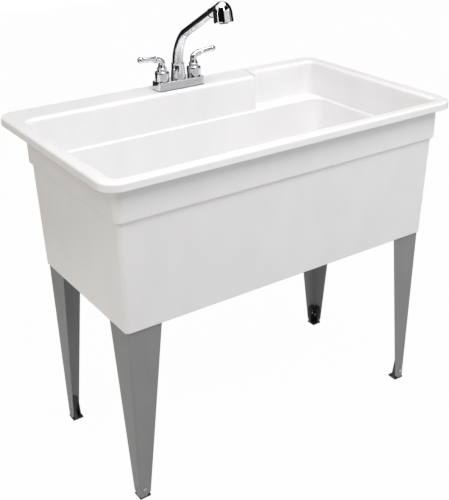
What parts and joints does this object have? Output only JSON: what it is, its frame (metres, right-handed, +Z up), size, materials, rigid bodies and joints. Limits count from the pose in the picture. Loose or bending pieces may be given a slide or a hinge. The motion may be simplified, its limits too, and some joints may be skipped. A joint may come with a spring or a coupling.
{
  "type": "utility laundry sink",
  "caption": "Deep freestanding laundry tub with a stepped white body, rear deck and recess, tapered steel legs on levelling feet, and a deck faucet with a pull-out spray.",
  "frame": {"origin": "on the floor, under the middle of the rim", "axes": "+X to the right seen from the front, +Y towards the back where the faucet is, +Z up"},
  "size_m": [1.016, 0.61, 1.1381],
  "materials": {
    "white_polypropylene": "moulded, faint grain",
    "grey_painted_steel": "satin grey coat",
    "black_plastic": "moulded",
    "zinc_plated_steel": "plated",
    "stainless_steel": "polished",
    "chrome_plate": "mirror",
    "brass": "turned",
    "rubber": "matt",
    "grey_plastic": "moulded",
    "hose_nylon": "matt"
  },
  "bodies": {
    "sink": {"tub": "white_polypropylene", "leg_front_left": "grey_painted_steel", "leg_screw_front_left": "zinc_plated_steel", "foot_screw_front_left": "zinc_plated_steel", "foot_nut_front_left": "zinc_plated_steel", "leg_front_right": "grey_painted_steel", "leg_screw_front_right": "zinc_plated_steel", "foot_screw_front_right": "zinc_plated_steel", "foot_nut_front_right": "zinc_plated_steel", "leg_back_left": "grey_painted_steel", "leg_screw_back_left": "zinc_plated_steel", "foot_screw_back_left": "zinc_plated_steel", "foot_nut_back_left": "zinc_plated_steel", "leg_back_right": "grey_painted_steel", "leg_screw_back_right": "zinc_plated_steel", "foot_screw_back_right": "zinc_plated_steel", "foot_nut_back_right": "zinc_plated_steel", "drain_strainer": "stainless_steel", "drain_gasket": "rubber", "drain_nut": "grey_plastic", "slip_washer": "rubber", "tailpiece": "chrome_plate", "slip_nut": "grey_plastic", "faucet_gasket": "rubber", "faucet_cover": "chrome_plate", "valve_body": "brass", "spout_collar": "chrome_plate", "spout_seal": "rubber", "cartridge_left": "brass", "bonnet_left": "chrome_plate", "mounting_washer_left": "grey_plastic", "mounting_nut_left": "black_plastic", "cartridge_right": "brass", "bonnet_right": "chrome_plate", "mounting_washer_right": "grey_plastic", "mounting_nut_right": "black_plastic"},
    "levelling_foot_front_left": {"foot_front_left": "black_plastic"},
    "levelling_foot_front_right": {"foot_front_right": "black_plastic"},
    "levelling_foot_back_left": {"foot_back_left": "black_plastic"},
    "levelling_foot_back_right": {"foot_back_right": "black_plastic"},
    "waste_stopper": {"stopper": "rubber", "stopper_knob": "chrome_plate"},
    "handle_left": {"stem_left": "brass", "lever_left": "chrome_plate", "lever_screw_left": "zinc_plated_steel"},
    "handle_right": {"stem_right": "brass", "lever_right": "chrome_plate", "lever_screw_right": "zinc_plated_steel"},
    "swivel_spout": {"spout": "chrome_plate", "dock_bush": "black_plastic"},
    "spray_head": {"spray_ring": "black_plastic", "spray_shell": "chrome_plate", "spray_face": "black_plastic", "aerator": "grey_plastic", "hose_tail": "hose_nylon"}
  },
  "joints": [
    {"name": "level_front_left", "type": "slide", "parent": "sink", "child": "levelling_foot_front_left", "axis": [0, 0, 1], "range_m": [-0.015, 0]},
    {"name": "level_front_right", "type": "slide", "parent": "sink", "child": "levelling_foot_front_right", "axis": [0, 0, 1], "range_m": [-0.015, 0]},
    {"name": "level_back_left", "type": "slide", "parent": "sink", "child": "levelling_foot_back_left", "axis": [0, 0, 1], "range_m": [-0.015, 0]},
    {"name": "level_back_right", "type": "slide", "parent": "sink", "child": "levelling_foot_back_right", "axis": [0, 0, 1], "range_m": [-0.015, 0]},
    {"name": "stopper_lift", "type": "slide", "parent": "sink", "child": "waste_stopper", "axis": [0, 0, 1], "range_m": [0, 0.06]},
    {"name": "hot_handle", "type": "hinge", "parent": "sink", "child": "handle_left", "pos_m": [-0.0543, 0.247, 0.94], "axis": [0, 0, 1], "range_deg": [0, 90]},
    {"name": "cold_handle", "type": "hinge", "parent": "sink", "child": "handle_right", "pos_m": [0.0473, 0.247, 0.94], "axis": [0, 0, 1], "range_deg": [-90, 0]},
    {"name": "spout_swivel", "type": "hinge", "parent": "sink", "child": "swivel_spout", "pos_m": [-0.0035, 0.247, 0.92], "axis": [0, 0, 1], "range_deg": [-90, 90]},
    {"name": "spray_pull", "type": "slide", "parent": "swivel_spout", "child": "spray_head", "axis": [0, -0.8746, 0.4848], "range_m": [0, 0.09]}
  ]
}
